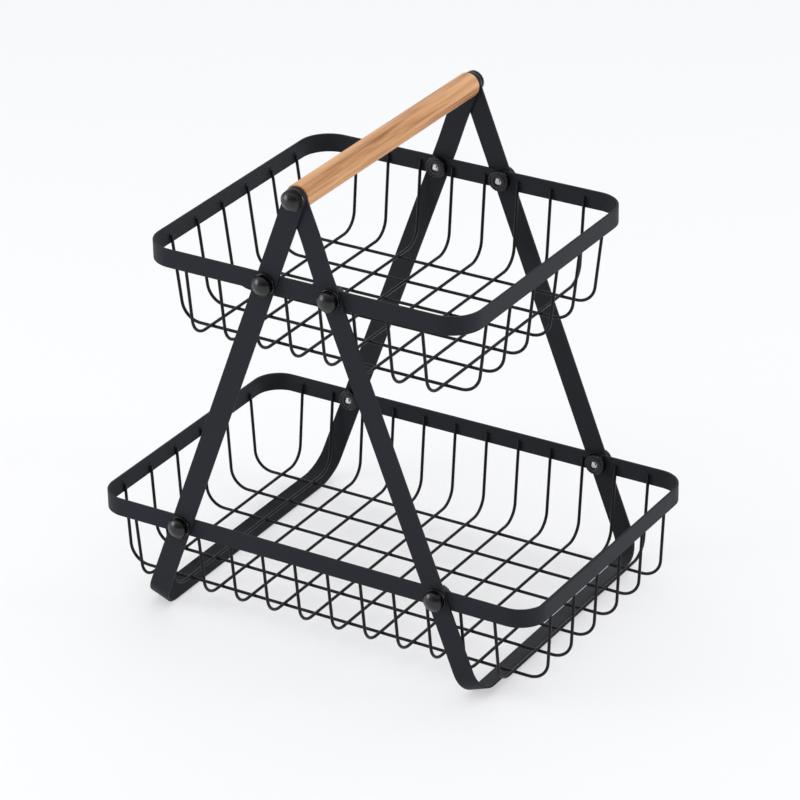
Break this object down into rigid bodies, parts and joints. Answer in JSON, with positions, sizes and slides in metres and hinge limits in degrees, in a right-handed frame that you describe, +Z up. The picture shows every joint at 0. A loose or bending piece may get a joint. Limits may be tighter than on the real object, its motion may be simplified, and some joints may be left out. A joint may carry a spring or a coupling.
{
  "type": "vegetable rack",
  "caption": "Free-standing tiered rack: open wire baskets with flat-bar rims, screwed between two crossed strap frames that meet at a wooden carrying grip.",
  "frame": {"origin": "on the ground, midway between the four corners of the two feet", "axes": "+Z up, +X along the long side of the baskets towards the right, +Y towards the back"},
  "size_m": [0.31, 0.2156, 0.31],
  "materials": {
    "black_coat": "satin black powder coat",
    "black_plastic": "moulded, glossy",
    "bare_steel": "zinc plated",
    "brass_insert": "turned",
    "light_wood": "oiled, fine straight grain"
  },
  "bodies": {
    "rack": {"left_frame": "black_coat", "right_frame": "black_coat", "upper_rim": "black_coat", "upper_left_cross_wires": "black_coat", "upper_right_cross_wires": "black_coat", "upper_front_long_wires": "black_coat", "upper_back_long_wires": "black_coat", "lower_rim": "black_coat", "lower_left_cross_wires": "black_coat", "lower_right_cross_wires": "black_coat", "lower_front_long_wires": "black_coat", "lower_back_long_wires": "black_coat"},
    "grip": {"wooden_grip": "light_wood", "grip_front_insert": "brass_insert", "grip_back_insert": "brass_insert"},
    "grip_front_screw": {"grip_front_knob": "black_plastic", "grip_front_stud": "bare_steel"},
    "grip_back_screw": {"grip_back_knob": "black_plastic", "grip_back_stud": "bare_steel"},
    "upper_front_left_screw": {"upper_front_left_knob": "black_plastic", "upper_front_left_stud": "bare_steel"},
    "upper_front_left_clamp": {"upper_front_left_nut": "black_plastic", "upper_front_left_hex": "bare_steel"},
    "upper_front_right_screw": {"upper_front_right_knob": "black_plastic", "upper_front_right_stud": "bare_steel"},
    "upper_front_right_clamp": {"upper_front_right_nut": "black_plastic", "upper_front_right_hex": "bare_steel"},
    "upper_back_left_screw": {"upper_back_left_knob": "black_plastic", "upper_back_left_stud": "bare_steel"},
    "upper_back_left_clamp": {"upper_back_left_nut": "black_plastic", "upper_back_left_hex": "bare_steel"},
    "upper_back_right_screw": {"upper_back_right_knob": "black_plastic", "upper_back_right_stud": "bare_steel"},
    "upper_back_right_clamp": {"upper_back_right_nut": "black_plastic", "upper_back_right_hex": "bare_steel"},
    "lower_front_left_screw": {"lower_front_left_knob": "black_plastic", "lower_front_left_stud": "bare_steel"},
    "lower_front_left_clamp": {"lower_front_left_nut": "black_plastic", "lower_front_left_hex": "bare_steel"},
    "lower_front_right_screw": {"lower_front_right_knob": "black_plastic", "lower_front_right_stud": "bare_steel"},
    "lower_front_right_clamp": {"lower_front_right_nut": "black_plastic", "lower_front_right_hex": "bare_steel"},
    "lower_back_left_screw": {"lower_back_left_knob": "black_plastic", "lower_back_left_stud": "bare_steel"},
    "lower_back_left_clamp": {"lower_back_left_nut": "black_plastic", "lower_back_left_hex": "bare_steel"},
    "lower_back_right_screw": {"lower_back_right_knob": "black_plastic", "lower_back_right_stud": "bare_steel"},
    "lower_back_right_clamp": {"lower_back_right_nut": "black_plastic", "lower_back_right_hex": "bare_steel"}
  },
  "joints": [
    {"name": "grip_turn", "type": "hinge", "parent": "rack", "child": "grip", "pos_m": [0, 0, 0.3022], "axis": [0, 1, 0], "continuous": true},
    {"name": "grip_front_knob_turn", "type": "hinge", "parent": "rack", "child": "grip_front_screw", "pos_m": [0, -0.1005, 0.3022], "axis": [0, -1, 0], "continuous": true},
    {"name": "grip_back_knob_turn", "type": "hinge", "parent": "rack", "child": "grip_back_screw", "pos_m": [0, 0.1005, 0.3022], "axis": [0, 1, 0], "continuous": true},
    {"name": "upper_front_left_knob_turn", "type": "hinge", "parent": "rack", "child": "upper_front_left_screw", "pos_m": [-0.02245, -0.1005, 0.2434], "axis": [0, -1, 0], "continuous": true},
    {"name": "upper_front_left_nut_turn", "type": "hinge", "parent": "rack", "child": "upper_front_left_clamp", "pos_m": [-0.02245, -0.0955, 0.2434], "axis": [0, -1, 0], "continuous": true},
    {"name": "upper_front_right_knob_turn", "type": "hinge", "parent": "rack", "child": "upper_front_right_screw", "pos_m": [0.02245, -0.1005, 0.2434], "axis": [0, -1, 0], "continuous": true},
    {"name": "upper_front_right_nut_turn", "type": "hinge", "parent": "rack", "child": "upper_front_right_clamp", "pos_m": [0.02245, -0.0955, 0.2434], "axis": [0, -1, 0], "continuous": true},
    {"name": "upper_back_left_knob_turn", "type": "hinge", "parent": "rack", "child": "upper_back_left_screw", "pos_m": [-0.02245, 0.1005, 0.2434], "axis": [0, 1, 0], "continuous": true},
    {"name": "upper_back_left_nut_turn", "type": "hinge", "parent": "rack", "child": "upper_back_left_clamp", "pos_m": [-0.02245, 0.0955, 0.2434], "axis": [0, 1, 0], "continuous": true},
    {"name": "upper_back_right_knob_turn", "type": "hinge", "parent": "rack", "child": "upper_back_right_screw", "pos_m": [0.02245, 0.1005, 0.2434], "axis": [0, 1, 0], "continuous": true},
    {"name": "upper_back_right_nut_turn", "type": "hinge", "parent": "rack", "child": "upper_back_right_clamp", "pos_m": [0.02245, 0.0955, 0.2434], "axis": [0, 1, 0], "continuous": true},
    {"name": "lower_front_left_knob_turn", "type": "hinge", "parent": "rack", "child": "lower_front_left_screw", "pos_m": [-0.09096, -0.1005, 0.064], "axis": [0, -1, 0], "continuous": true},
    {"name": "lower_front_left_nut_turn", "type": "hinge", "parent": "rack", "child": "lower_front_left_clamp", "pos_m": [-0.09096, -0.0955, 0.064], "axis": [0, -1, 0], "continuous": true},
    {"name": "lower_front_right_knob_turn", "type": "hinge", "parent": "rack", "child": "lower_front_right_screw", "pos_m": [0.09096, -0.1005, 0.064], "axis": [0, -1, 0], "continuous": true},
    {"name": "lower_front_right_nut_turn", "type": "hinge", "parent": "rack", "child": "lower_front_right_clamp", "pos_m": [0.09096, -0.0955, 0.064], "axis": [0, -1, 0], "continuous": true},
    {"name": "lower_back_left_knob_turn", "type": "hinge", "parent": "rack", "child": "lower_back_left_screw", "pos_m": [-0.09096, 0.1005, 0.064], "axis": [0, 1, 0], "continuous": true},
    {"name": "lower_back_left_nut_turn", "type": "hinge", "parent": "rack", "child": "lower_back_left_clamp", "pos_m": [-0.09096, 0.0955, 0.064], "axis": [0, 1, 0], "continuous": true},
    {"name": "lower_back_right_knob_turn", "type": "hinge", "parent": "rack", "child": "lower_back_right_screw", "pos_m": [0.09096, 0.1005, 0.064], "axis": [0, 1, 0], "continuous": true},
    {"name": "lower_back_right_nut_turn", "type": "hinge", "parent": "rack", "child": "lower_back_right_clamp", "pos_m": [0.09096, 0.0955, 0.064], "axis": [0, 1, 0], "continuous": true}
  ]
}
